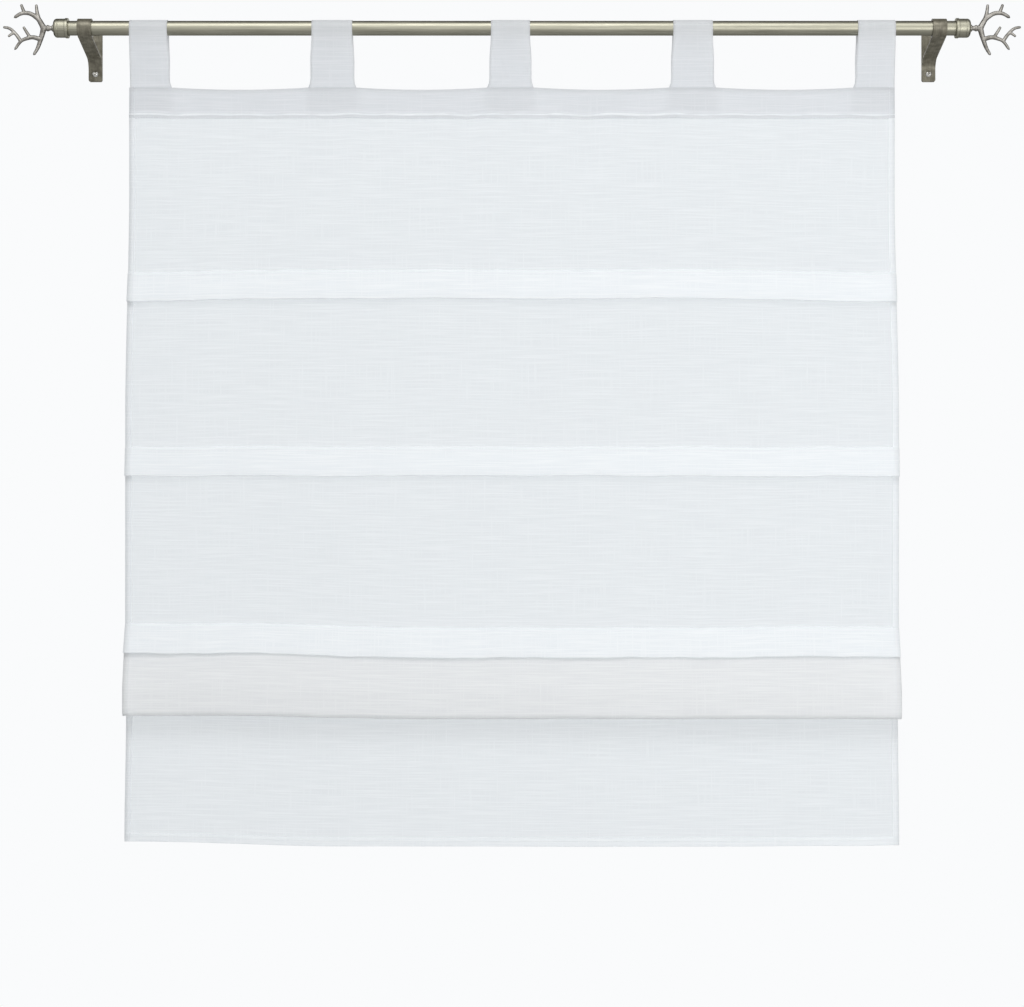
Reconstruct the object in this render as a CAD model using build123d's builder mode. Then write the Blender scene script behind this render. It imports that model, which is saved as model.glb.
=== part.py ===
import os
from math import acos, atan2, cos, hypot, radians, sin, tan

from build123d import *

# Frame: X runs along the rod, +Z is up, the wall is the plane y = 0 and the front faces -Y.
# The origin is the middle of the four wall screws.

# Rod
rod_diameter = 19.0
rod_wall = 1.0
rod_overhang = 35.0
rod_standoff = 75.0
rod_height = 18.0

# End caps
cap_diameter = 24.5
cap_length = 19.0
cap_bore_depth = 13.5
cap_rim_diameter = 26.0
cap_rim_width = 4.0
cap_shoulder = 4.5
cap_shoulder_facets = 2
cap_sides = 36
slip_clearance = 0.15

# Antler finials
pin_diameter = 5.0
collar_diameter = 9.0
collar_length = 2.5
neck_diameter = 6.0
burr_diameter = 8.4
burr_length = 6.0
burr_start = 5.0
burr_bevel = 1.8
antler_reach = 67.0
antler_rise = 33.0
antler_bow = 6.0
beam_radius = 3.2
antler_sides = 8
neck_sides = 16

# Brackets
bracket_width = 18.0
bracket_gap = 46.0
plate_height = 76.0
plate_gauge = 2.0
arm_gauge = 2.5
arm_slope = 13.0
arm_bend = 17.0
plate_end_round = 2.5
ring_wall = 2.4
ring_clearance = 0.3

# Screws
screw_spacing = 56.0
screw_diameter = 4.0
screw_shank_diameter = 3.4
screw_hole_clearance = 0.25
screw_head_diameter = 8.0
screw_head_height = 2.8
screw_head_crown = 1.3
screw_depth = 30.0
screw_point = 6.0
screw_tip_diameter = 0.6
screw_point_sides = 12
drive_width = 1.1
drive_span = 4.6
drive_depth = 1.5
lock_screw_diameter = 4.0
lock_screw_length = 6.5
lock_screw_angle = 40.0
lock_slot_width = 0.8
lock_slot_depth = 1.0

# Cloth
cloth = 0.5
layer_pitch = 1.4
panel_width = 1000.0
header_drop = 81.0
header_height = 36.0
header_sag = 5.0
seam_gap = 0.3
side_hem = 7.0
side_hem_cloth = 0.9
first_seam_drop = 312.5
seam_pitch = 231.0
hanging_tucks = 3
tuck_depth = 39.0
tuck_nose = 3.5
tuck_stand_off = 5.0
fold_depth = 119.0
fold_reach = 22.0
fold_shoulder = 80.0
fold_bend = 60.0
fold_nose = 16.0
raised_seam_step = 10.0
hem_drop = 1065.0
hem_depth = 8.0

# Tabs
tab_count = 5
tab_width = 49.0
tab_flare = 5.5
tab_flare_height = 34.0
tab_cloth = 0.8
tab_clearance = 0.3
tab_tail = 28.0
tab_neck = 6.0

# Lift rings
ring_columns = 3
ring_column_spacing = 430.0
lift_ring_radius = 6.0
lift_ring_gauge = 2.0
lift_ring_rise = -3.0
lift_ring_sides = 10

overrun = 5.0
turn_share = 0.45

# Antler branches, root to tip: points as shares of reach, rise and bow.
upper_beam_shares = (
    (0.20, 0.0, 0.0),
    (0.25, 0.19, 0.1),
    (0.31, 0.37, 0.25),
    (0.46, 0.56, 0.45),
    (0.62, 0.55, 0.7),
    (0.77, 0.38, 0.6),
)
inner_tine_shares = ((0.30, 0.35, 0.2), (0.325, 0.62, 0.2), (0.35, 0.95, -0.2))
crown_tine_shares = ((0.56, 0.56, 0.6), (0.60, 0.76, 0.5), (0.635, 0.93, 0.1))
lower_beam_shares = (
    (0.20, 0.0, 0.0),
    (0.232, -0.24, -0.1),
    (0.275, -0.50, -0.3),
    (0.33, -0.78, -0.45),
    (0.41, -1.05, -0.5),
)
side_beam_shares = (
    (0.265, -0.43, -0.25),
    (0.41, -0.365, 0.15),
    (0.54, -0.43, 0.35),
    (0.645, -0.55, 0.4),
    (0.765, -0.87, 0.2),
)
side_tine_shares = ((0.45, -0.38, 0.2), (0.53, -0.15, 0.5), (0.585, 0.04, 0.6))
outer_beam_shares = ((0.63, -0.53, 0.4), (0.73, -0.26, 0.1), (0.86, -0.01, -0.2), (1.0, 0.06, -0.4))
outer_tine_shares = ((0.765, -0.17, 0.05), (0.83, -0.25, 0.2), (0.88, -0.35, 0.5))

# Each branch with its root and end radius as shares of the beam radius. A longer one has more stations.
branch_shares = (
    (upper_beam_shares, 1.0, 0.5),
    (lower_beam_shares, 1.0, 0.45),
    (inner_tine_shares, 0.74, 0.42),
    (crown_tine_shares, 0.6, 0.40),
    (side_beam_shares, 0.8, 0.42),
    (side_tine_shares, 0.58, 0.40),
    (outer_beam_shares, 0.62, 0.42),
    (outer_tine_shares, 0.46, 0.36),
)
beam_station_shares = (0.0, 0.2, 0.4, 0.6, 0.8, 0.97, 1.0)
tine_station_shares = (0.0, 0.5, 0.95, 1.0)
tip_share = 0.5
hub_share = 1.1
hub_end_share = 0.6

rod_radius = rod_diameter / 2
bracket_spacing = panel_width + 2 * bracket_gap + bracket_width
rod_length = bracket_spacing + 2 * rod_overhang
cap_end = rod_length / 2 + cap_length - cap_bore_depth
cap_end_wall = cap_length - cap_bore_depth
ring_mid_radius = rod_radius + ring_clearance + ring_wall / 2
panel_y = -rod_standoff
header_top = rod_height - header_drop
seam_heights = [rod_height - first_seam_drop - tuck * seam_pitch for tuck in range(hanging_tucks)]
raised_seam = seam_heights[-1] - raised_seam_step
tab_pitch = (panel_width - tab_width) / (tab_count - 1)
tab_places = [(index - (tab_count - 1) / 2) * tab_pitch for index in range(tab_count)]

os.makedirs("parts", exist_ok=True)


def save(part, name):
    part.label = name
    export_step(part, f"parts/{name}.step")


def side_plane(x):
    return Plane(origin=(x, 0, 0), x_dir=(0, 1, 0), z_dir=(1, 0, 0))


def rod_plane(x):
    return Plane(origin=(x, -rod_standoff, rod_height), x_dir=(0, 1, 0), z_dir=(1, 0, 0))


def ring_points(plane, radius, sides):
    turns = [radians(360 * side / sides) for side in range(sides)]
    return [plane.from_local_coords((radius * cos(turn), radius * sin(turn))) for turn in turns]


# A solid of flat facets through rings of points, closed at both ends.
def faceted_solid(rings):
    facets = [Face(Wire.make_polygon(rings[0])), Face(Wire.make_polygon(rings[-1]))]
    for near, far in zip(rings[:-1], rings[1:]):
        for index in range(len(near)):
            facets.append(Face(Wire.make_polygon((near[index - 1], near[index], far[index]))))
            facets.append(Face(Wire.make_polygon((near[index - 1], far[index], far[index - 1]))))
    return Solid(Shell(facets))


def make_rod():
    with BuildPart() as rod:
        with BuildSketch(rod_plane(-rod_length / 2)):
            Circle(rod_radius)
            Circle(rod_radius - rod_wall, mode=Mode.SUBTRACT)
        extrude(amount=rod_length)
    return rod.part


def make_cap():
    lip = cap_end - cap_length
    shoulder_turns = [radians(90 * step / cap_shoulder_facets) for step in range(cap_shoulder_facets + 1)]
    shoulder = [
        (cap_end - cap_shoulder * (1 - sin(turn)), cap_diameter / 2 - cap_shoulder * (1 - cos(turn)))
        for turn in shoulder_turns
    ]
    body = [(lip + cap_rim_width, cap_diameter / 2), *shoulder]
    with BuildPart() as cap:
        with BuildSketch(rod_plane(lip)):
            RegularPolygon(cap_rim_diameter / 2, cap_sides)
        extrude(amount=cap_rim_width)
        add(faceted_solid([ring_points(rod_plane(along), radius, cap_sides) for along, radius in body]))
        with BuildSketch(rod_plane(lip)):
            Circle(rod_radius + slip_clearance)
        extrude(amount=cap_bore_depth, mode=Mode.SUBTRACT)
        with BuildSketch(rod_plane(lip)):
            Circle(pin_diameter / 2 + slip_clearance)
        extrude(amount=cap_length, mode=Mode.SUBTRACT)
    return cap.part


def antler_point(along_share, up_share, bow_share):
    return (
        cap_end + along_share * antler_reach,
        -rod_standoff - bow_share * antler_bow,
        rod_height + up_share * antler_rise,
    )


def make_antler():
    split = antler_point(*upper_beam_shares[0])[0]
    hub_radius = beam_radius * hub_share
    neck_stations = (
        (cap_end + collar_length, neck_diameter / 2),
        (cap_end + burr_start, neck_diameter / 2),
        (cap_end + burr_start + burr_bevel, burr_diameter / 2),
        (cap_end + burr_start + burr_length - burr_bevel, burr_diameter / 2),
        (cap_end + burr_start + burr_length, neck_diameter / 2),
        (split, hub_radius),
        (split + hub_radius * hub_end_share, hub_radius * hub_end_share),
    )
    with BuildPart() as antler:
        with BuildSketch(rod_plane(cap_end - cap_end_wall)):
            Circle(pin_diameter / 2)
        extrude(amount=cap_end_wall)
        with BuildSketch(rod_plane(cap_end)):
            RegularPolygon(collar_diameter / 2, neck_sides)
        extrude(amount=collar_length)
        neck_rings = [ring_points(rod_plane(along), radius, neck_sides) for along, radius in neck_stations]
        add(faceted_solid(neck_rings))
        for point_shares, root_share, end_share in branch_shares:
            with BuildLine() as spine:
                Spline(*[antler_point(*shares) for shares in point_shares])
            path = spine.wire()
            long_branch = len(point_shares) > len(inner_tine_shares)
            rings = []
            for station_share in beam_station_shares if long_branch else tine_station_shares:
                taper_share = root_share + (end_share - root_share) * station_share
                round_share = tip_share if station_share == 1 else 1
                station = Plane(origin=path @ station_share, x_dir=(0, 1, 0), z_dir=path % station_share)
                rings.append(ring_points(station, beam_radius * taper_share * round_share, antler_sides))
            add(faceted_solid(rings))
    return antler.part


def mirrored(part):
    with BuildPart() as twin:
        add(part)
        mirror(about=Plane.YZ, mode=Mode.REPLACE)
    return twin.part


def make_bracket(side):
    slope = radians(arm_slope)
    place = side * bracket_spacing / 2
    arm_y = -plate_gauge - arm_gauge / 2
    tangent = (-rod_standoff - ring_mid_radius * sin(slope), rod_height - ring_mid_radius * cos(slope))
    corner = (arm_y, tangent[1] - (arm_y - tangent[0]) * tan(slope))
    with BuildPart() as bracket:
        with BuildSketch(side_plane(place)):
            with BuildLine():
                FilletPolyline((arm_y, -plate_height / 2), corner, tangent, radius=arm_bend)
            trace(line_width=arm_gauge)
            with Locations((-rod_standoff, rod_height)):
                Circle(ring_mid_radius + ring_wall / 2)
        extrude(amount=bracket_width / 2, both=True)
        foot = bracket.edges().filter_by(Axis.Y).group_by(Axis.Z)[0]
        fillet(foot, plate_end_round)
        with BuildSketch(Plane.XZ):
            with Locations((place, 0)):
                RectangleRounded(bracket_width, plate_height, plate_end_round)
        extrude(amount=plate_gauge)
        with BuildSketch(side_plane(place)):
            with Locations((-rod_standoff, rod_height)):
                Circle(rod_radius + ring_clearance)
        extrude(amount=bracket_width, both=True, mode=Mode.SUBTRACT)
        with BuildSketch(Plane.XZ.offset(-overrun)):
            with GridLocations(bracket_spacing, screw_spacing, 2, 2):
                Circle(screw_diameter / 2 + screw_hole_clearance)
        extrude(amount=overrun + plate_gauge + arm_gauge + overrun, mode=Mode.SUBTRACT)
        with BuildSketch(lock_plane(place)):
            Circle(lock_screw_diameter / 2 + slip_clearance)
        extrude(amount=rod_radius + ring_wall + overrun, mode=Mode.SUBTRACT)
    return bracket.part


def lock_plane(x):
    tilt = radians(lock_screw_angle)
    return Plane(origin=(x, -rod_standoff, rod_height), x_dir=(1, 0, 0), z_dir=(0, cos(tilt), sin(tilt)))


def make_wall_screws():
    head_radius = screw_head_diameter / 2
    upper_row = (screw_spacing / 2, plate_gauge)
    lower_row = (-screw_spacing / 2, plate_gauge + arm_gauge)
    with BuildPart() as screws:
        for height, clamped in (upper_row, lower_row):
            head_top = -clamped - screw_head_height
            for place in (-bracket_spacing / 2, bracket_spacing / 2):
                with BuildSketch(Plane(origin=(place, 0, height), x_dir=(1, 0, 0), z_dir=(0, 0, 1))):
                    with BuildLine():
                        Polyline(
                            (0, head_top),
                            (0, screw_depth - screw_point),
                            (screw_diameter / 2, screw_depth - screw_point),
                            (screw_diameter / 2, 0),
                            (screw_shank_diameter / 2, 0),
                            (screw_shank_diameter / 2, -clamped),
                            (head_radius, -clamped),
                            (head_radius, head_top + screw_head_crown),
                            (head_radius - screw_head_crown, head_top),
                            close=True,
                        )
                    make_face()
                revolve(axis=Axis((place, 0, height), (0, 1, 0)))
                point_start = (place, screw_depth - screw_point, height)
                root = Plane(origin=point_start, x_dir=(1, 0, 0), z_dir=(0, 1, 0))
                root_ring = ring_points(root, screw_diameter / 2, screw_point_sides)
                tip_ring = ring_points(root.offset(screw_point), screw_tip_diameter / 2, screw_point_sides)
                add(faceted_solid([root_ring, tip_ring]))
                with BuildSketch(Plane.XZ.offset(-head_top - drive_depth)):
                    with Locations((place, height)):
                        Rectangle(drive_span, drive_width)
                        Rectangle(drive_width, drive_span)
                extrude(amount=drive_depth + overrun, mode=Mode.SUBTRACT)
    return screws.part


def make_lock_screws():
    with BuildPart() as screws:
        for place in (-bracket_spacing / 2, bracket_spacing / 2):
            with BuildSketch(lock_plane(place).offset(rod_radius)):
                Circle(lock_screw_diameter / 2)
            extrude(amount=lock_screw_length)
            with BuildSketch(lock_plane(place).offset(rod_radius + lock_screw_length - lock_slot_depth)):
                Rectangle(lock_screw_diameter + overrun, lock_slot_width)
            extrude(amount=lock_slot_depth, mode=Mode.SUBTRACT)
    return screws.part


# Corners of the panel's path, each with the radius of its turn. A stitched crease is sharp and has none.
def tuck_corners(seam, stand_off):
    front = panel_y - 2 * layer_pitch
    bottom = seam - tuck_depth
    nose_turn = tuck_nose * turn_share
    return [
        ((panel_y, seam + layer_pitch), 0),
        ((front, seam - layer_pitch), 0),
        ((front - stand_off, bottom), nose_turn),
        ((front - stand_off + tuck_nose, bottom), nose_turn),
        ((panel_y - layer_pitch, seam - 2 * layer_pitch), 0),
        ((panel_y, seam - 2 * layer_pitch), 0),
    ]


def fold_corners():
    top = seam_heights[-1]
    front = panel_y - fold_reach
    return [
        ((front, top - fold_shoulder), fold_bend),
        ((front, top - fold_depth), fold_nose * turn_share),
        ((front + fold_nose, top - fold_depth), fold_nose * turn_share),
    ]


def hem_corners():
    hem = rod_height - hem_drop
    return [
        ((panel_y + 2 * layer_pitch, raised_seam), 0),
        ((panel_y + 3 * layer_pitch, raised_seam), 0),
        ((panel_y + 3 * layer_pitch, raised_seam - tuck_depth), 0),
        ((panel_y + 4 * layer_pitch, raised_seam - tuck_depth), 0),
        ((panel_y + 4 * layer_pitch, raised_seam - layer_pitch), 0),
        ((panel_y + 5 * layer_pitch, raised_seam - layer_pitch), 0),
        ((panel_y + 5 * layer_pitch, hem), 0),
        ((panel_y + 6 * layer_pitch, hem), 0),
    ]


def panel_corners():
    over_fold = tuck_stand_off + fold_reach * tuck_depth / fold_shoulder
    corners = []
    for seam in seam_heights:
        corners += tuck_corners(seam, over_fold if seam == seam_heights[-1] else tuck_stand_off)
    end = (panel_y + 6 * layer_pitch, rod_height - hem_drop + hem_depth)
    return corners + fold_corners() + hem_corners() + [(end, 0)]


def panel_outline(thickness):
    run = [(panel_y, header_top)]
    turns = []
    with BuildLine() as outline:
        for corner, turn in panel_corners():
            run.append(corner)
            if turn:
                turns.append(turn)
                continue
            if turns:
                FilletPolyline(*run, radius=turns)
            else:
                Line(*run)
            run = [corner]
            turns = []
        offset(amount=thickness / 2, side=Side.BOTH, kind=Kind.INTERSECTION, mode=Mode.REPLACE)
    return outline.line


def header_sags():
    with BuildSketch(Plane.XZ) as sags:
        for left, right in zip(tab_places[:-1], tab_places[1:]):
            start = (left + tab_width / 2 + tab_flare, header_top)
            end = (right - tab_width / 2 - tab_flare, header_top)
            with BuildLine():
                ThreePointArc(start, ((left + right) / 2, header_top - header_sag), end)
                Polyline(end, (end[0], header_top + overrun), (start[0], header_top + overrun), start)
            make_face()
    return sags.sketch


def make_panel():
    with BuildPart() as panel:
        with BuildSketch(side_plane(0)):
            add(panel_outline(cloth))
            make_face()
        extrude(amount=panel_width / 2, both=True)
        for place in (-panel_width / 2, panel_width / 2 - side_hem):
            with BuildSketch(side_plane(place)):
                add(panel_outline(side_hem_cloth))
                make_face()
            extrude(amount=side_hem)
        extrude(header_sags(), amount=2 * rod_standoff, mode=Mode.SUBTRACT)
    return panel.part


def tab_layers():
    first = panel_y + cloth / 2 + seam_gap + tab_cloth / 2
    return first, first + tab_cloth + seam_gap


def make_facing():
    front = tab_layers()[1] + tab_cloth / 2 + seam_gap
    width = panel_width - 2 * side_hem
    with BuildPart() as facing:
        with BuildSketch(Plane.XZ.offset(-front - cloth)):
            with Locations((0, header_top - header_height / 2)):
                Rectangle(width, header_height)
        extrude(amount=cloth)
        extrude(header_sags(), amount=2 * rod_standoff, mode=Mode.SUBTRACT)
    return facing.part


def tab_tangent(point, side):
    loop_radius = rod_radius + tab_clearance + tab_cloth / 2
    span = (point[0] + rod_standoff, point[1] - rod_height)
    angle = atan2(span[1], span[0]) + side * acos(loop_radius / hypot(*span))
    return (-rod_standoff + loop_radius * cos(angle), rod_height + loop_radius * sin(angle))


def make_tab(place):
    front, back = tab_layers()
    tail = header_top - tab_tail
    neck = header_top + tab_neck
    loop_top = rod_height + rod_radius + tab_clearance + tab_cloth / 2
    # The outer edge of an end tab runs straight down to the panel's edge.
    flared_sides = [side for side in (-1, 1) if side * place < tab_places[-1]]
    left_flare = tab_flare if -1 in flared_sides else 0
    with BuildPart() as tab:
        with BuildSketch(side_plane(place - tab_width / 2 - left_flare)):
            with BuildLine():
                front_touch = tab_tangent((front, neck), -1)
                back_touch = tab_tangent((back, neck), 1)
                Polyline((front, tail), (front, neck), front_touch)
                ThreePointArc(front_touch, (-rod_standoff, loop_top), back_touch)
                Polyline(back_touch, (back, neck), (back, tail))
                offset(amount=tab_cloth / 2, side=Side.BOTH, kind=Kind.ARC, mode=Mode.REPLACE)
            make_face()
        extrude(amount=tab_width + len(flared_sides) * tab_flare)
        with BuildSketch(Plane.XZ):
            for side in flared_sides:
                root = (place + side * (tab_width / 2 + tab_flare), header_top)
                waist = (place + side * tab_width / 2, header_top + tab_flare_height)
                outer = root[0] + side * overrun
                with BuildLine():
                    RadiusArc(waist, root, side * tab_flare_height * 3)
                    Polyline(root, (outer, header_top), (outer, loop_top + overrun))
                    Polyline((outer, loop_top + overrun), (waist[0], loop_top + overrun), waist)
                make_face()
        extrude(amount=2 * rod_standoff, mode=Mode.SUBTRACT)
    return tab.part


def make_lift_rings():
    clear = cloth / 2 + seam_gap + lift_ring_gauge
    hole_radius = lift_ring_radius - lift_ring_gauge
    seats = [(panel_y + clear, seam + lift_ring_rise) for seam in seam_heights]
    seats.append((panel_y + 5 * layer_pitch + clear, raised_seam + lift_ring_rise))
    with BuildPart() as rings:
        for back, height in seats:
            with BuildSketch(Plane.XZ.offset(-back)):
                with Locations((0, height)):
                    with GridLocations(ring_column_spacing, 0, ring_columns, 1):
                        RegularPolygon(lift_ring_radius, lift_ring_sides)
                        RegularPolygon(hole_radius, lift_ring_sides, mode=Mode.SUBTRACT)
            extrude(amount=lift_ring_gauge)
    return rings.part


save(make_rod(), "rod_tube")
cap_right = make_cap()
save(cap_right, "end_cap_right")
save(mirrored(cap_right), "end_cap_left")
antler_right = make_antler()
save(antler_right, "antler_finial_right")
save(mirrored(antler_right), "antler_finial_left")
save(make_bracket(-1), "bracket_left")
save(make_bracket(1), "bracket_right")
save(make_wall_screws(), "wall_screws")
save(make_lock_screws(), "lock_screws")
save(make_panel(), "voile_panel")
save(make_facing(), "header_facing")
for number, place in enumerate(tab_places, start=1):
    save(make_tab(place), f"tab_{number}")
save(make_lift_rings(), "lift_rings")
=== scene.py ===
import math

import bmesh
import bpy
import numpy as np
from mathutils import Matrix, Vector, noise


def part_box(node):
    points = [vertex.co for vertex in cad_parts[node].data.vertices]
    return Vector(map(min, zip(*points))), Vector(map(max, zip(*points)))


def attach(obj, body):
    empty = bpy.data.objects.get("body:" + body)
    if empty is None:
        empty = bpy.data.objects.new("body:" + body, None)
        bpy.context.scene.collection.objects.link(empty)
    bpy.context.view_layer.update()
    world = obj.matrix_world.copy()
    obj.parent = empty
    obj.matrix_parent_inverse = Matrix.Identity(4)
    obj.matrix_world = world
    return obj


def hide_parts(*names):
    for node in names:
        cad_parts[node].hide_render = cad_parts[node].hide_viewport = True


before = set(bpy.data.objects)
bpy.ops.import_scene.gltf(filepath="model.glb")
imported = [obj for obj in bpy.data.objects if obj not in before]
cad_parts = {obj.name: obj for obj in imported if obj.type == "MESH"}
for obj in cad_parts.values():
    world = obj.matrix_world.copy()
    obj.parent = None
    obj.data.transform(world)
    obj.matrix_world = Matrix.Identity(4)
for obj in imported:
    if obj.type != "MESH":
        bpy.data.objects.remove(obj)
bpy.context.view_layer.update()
scene = bpy.context.scene
scene.view_settings.view_transform = "Standard"
mm = 0.001

rodLow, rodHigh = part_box("rod_tube")
rodY = (rodLow.y + rodHigh.y) / 2
rodZ = (rodLow.z + rodHigh.z) / 2
rodRadius = (rodHigh.z - rodLow.z) / 2
print("frame loaded:", len(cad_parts), "nodes")


def hexColour(code):
    parts = [int(code[place:place + 2], 16) / 255 for place in (1, 3, 5)]
    return (*[c / 12.92 if c <= 0.04045 else ((c + 0.055) / 1.055) ** 2.4 for c in parts], 1.0)


def addNode(tree, kind, inputs=None, **settings):
    node = tree.nodes.new(kind)
    for name, value in settings.items():
        setattr(node, name, value)
    for name, value in (inputs or {}).items():
        if isinstance(value, bpy.types.NodeSocket):
            tree.links.new(value, node.inputs[name])
        else:
            node.inputs[name].default_value = value
    return node


def newMaterial(name):
    material = bpy.data.materials.new(name)
    material.use_nodes = True
    material.node_tree.nodes.clear()
    return material, material.node_tree


def rampBetween(tree, factor, low, high, start=0.3, end=0.7):
    return addNode(tree, "ShaderNodeMapRange", {
        "Value": factor, "From Min": start, "From Max": end, "To Min": low, "To Max": high,
    }).outputs["Result"]


def noiseOf(tree, sizes, detail, roughness=0.5, place="Object"):
    # Noise whose grain has the given sizes along X, Y and Z, in millimetres.
    flat = addNode(tree, "ShaderNodeTexCoord").outputs[place]
    scale = tuple(1 / (size * mm) for size in sizes)
    mapped = addNode(tree, "ShaderNodeMapping", {"Vector": flat, "Scale": scale}).outputs["Vector"]
    return addNode(tree, "ShaderNodeTexNoise", {
        "Vector": mapped, "Scale": 1.0, "Detail": detail, "Roughness": roughness,
    }).outputs["Fac"]


def mathOf(tree, operation, one, two, **settings):
    return addNode(tree, "ShaderNodeMath", {0: one, 1: two}, operation=operation, **settings).outputs["Value"]


def tintOf(tree, factor, look):
    return addNode(tree, "ShaderNodeMix", {
        "Factor": factor, "A": hexColour(look["dark"]), "B": hexColour(look["light"]),
    }, data_type="RGBA").outputs["Result"]


def bumpOf(tree, height, look):
    return addNode(tree, "ShaderNodeBump", {
        "Height": height, "Strength": look["bump"], "Distance": look["bumpDepth"] * mm,
    }).outputs["Normal"]


def mixOf(tree, factor, one, two):
    return addNode(tree, "ShaderNodeMixShader", {"Fac": factor, 1: one, 2: two}).outputs["Shader"]


def principled(tree, inputs):
    return addNode(tree, "ShaderNodeBsdfPrincipled", inputs).outputs["BSDF"]


def clearOf(tree):
    return addNode(tree, "ShaderNodeBsdfTransparent").outputs["BSDF"]


def closeMaterial(tree, surface):
    addNode(tree, "ShaderNodeOutputMaterial", {"Surface": surface})


# Nickel plate on a steel tube, brushed along its length: fine lines, a soft long highlight.
nickelLook = dict(
    light="#bbb9a9", dark="#949282", lines=(70, 0.5, 0.5), lineRoughness=0.6, clouds=(40, 14, 14),
    rough=(0.34, 0.5), cloudRough=(-0.03, 0.04), bump=0.05, bumpDepth=0.1,
)


def makeBrushedNickel():
    look = nickelLook
    material, tree = newMaterial("brushedNickel")
    lines = noiseOf(tree, look["lines"], 3.0, look["lineRoughness"])
    lineRough = rampBetween(tree, lines, *look["rough"])
    cloudRough = rampBetween(tree, noiseOf(tree, look["clouds"], 2.0), *look["cloudRough"])
    closeMaterial(tree, principled(tree, {
        "Base Color": tintOf(tree, rampBetween(tree, lines, 0.0, 1.0), look), "Metallic": 1.0,
        "Roughness": mathOf(tree, "ADD", lineRough, cloudRough), "Normal": bumpOf(tree, lines, look),
    }))
    return material


# Cast zinc, tumbled and silver plated: a soft satin skin with the grain of the mould.
castLook = dict(
    light="#b4b1ab", dark="#7b7872", fine=(1.1, 1.1, 1.1), fineRoughness=0.5, broad=9, broadDetail=2.0,
    tone=(0.12, 0.36), metallic=1.0, roughBy="fine", rough=(0.42, 0.6), bump=0.2, bumpDepth=0.12,
)
# Steel strap in a baked pewter lacquer: satin, brushed down the strap, a little lighter where it is rubbed.
pewterLook = dict(
    light="#858172", dark="#615d50", fine=(0.45, 22, 22), fineRoughness=0.6, broad=7, broadDetail=3.0,
    tone=(0.15, 0.36), metallic=0.4, roughBy="broad", rough=(0.5, 0.36), bump=0.08, bumpDepth=0.1,
)


def makeMottled(name, look):
    material, tree = newMaterial(name)
    fine = noiseOf(tree, look["fine"], 3.0, look["fineRoughness"])
    broad = noiseOf(tree, (look["broad"],) * 3, look["broadDetail"])
    tone = rampBetween(tree, mathOf(tree, "MULTIPLY", fine, broad), 0.0, 1.0, *look["tone"])
    rough = rampBetween(tree, fine if look["roughBy"] == "fine" else broad, *look["rough"])
    closeMaterial(tree, principled(tree, {
        "Base Color": tintOf(tree, tone, look), "Metallic": look["metallic"],
        "Roughness": rough, "Normal": bumpOf(tree, fine, look),
    }))
    return material


# Zinc-plated screw steel: bright, with the cloudy bloom of the plating.
zincLook = dict(
    light="#efeeea", dark="#c6c4be", grain=2.5, detail=3.0, rough=(0.16, 0.34), metallic=1.0, sheen=0.0,
)
# Spun polyester thread, white, two plies: matt with a faint sheen.
threadLook = dict(
    light="#f4f7f9", dark="#dfe4e8", grain=0.5, detail=2.0, rough=(0.55, 0.75), metallic=0.0, sheen=0.2,
)


def makeGrained(name, look):
    material, tree = newMaterial(name)
    grain = noiseOf(tree, (look["grain"],) * 3, look["detail"])
    closeMaterial(tree, principled(tree, {
        "Base Color": tintOf(tree, rampBetween(tree, grain, 0.0, 1.0), look), "Metallic": look["metallic"],
        "Roughness": rampBetween(tree, grain, *look["rough"]), "Sheen Weight": look["sheen"],
    }))
    return material


# Polyester voile, plain weave: sheer, cool white, with thicker slub yarns that show as faint streaks.
# The threads lie 0.4 mm apart and are drawn 1.1 mm apart, because finer ones would not show.
voileLook = dict(
    thread=1.1, slub=(70, 1.8, 1000), slubRoughness=0.55, warpFainter=0.1, slubTone=(0.4, 0.65),
    slubCover=(-0.01, 0.02, 0.42, 0.72), weaveThin=0.025, weaveDense=0.015, weaveSpan=(0.2, 0.9),
    rough=0.88, sheen=0.12, gloss=0.2, bump=0.12, bumpDepth=0.15,
)


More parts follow.
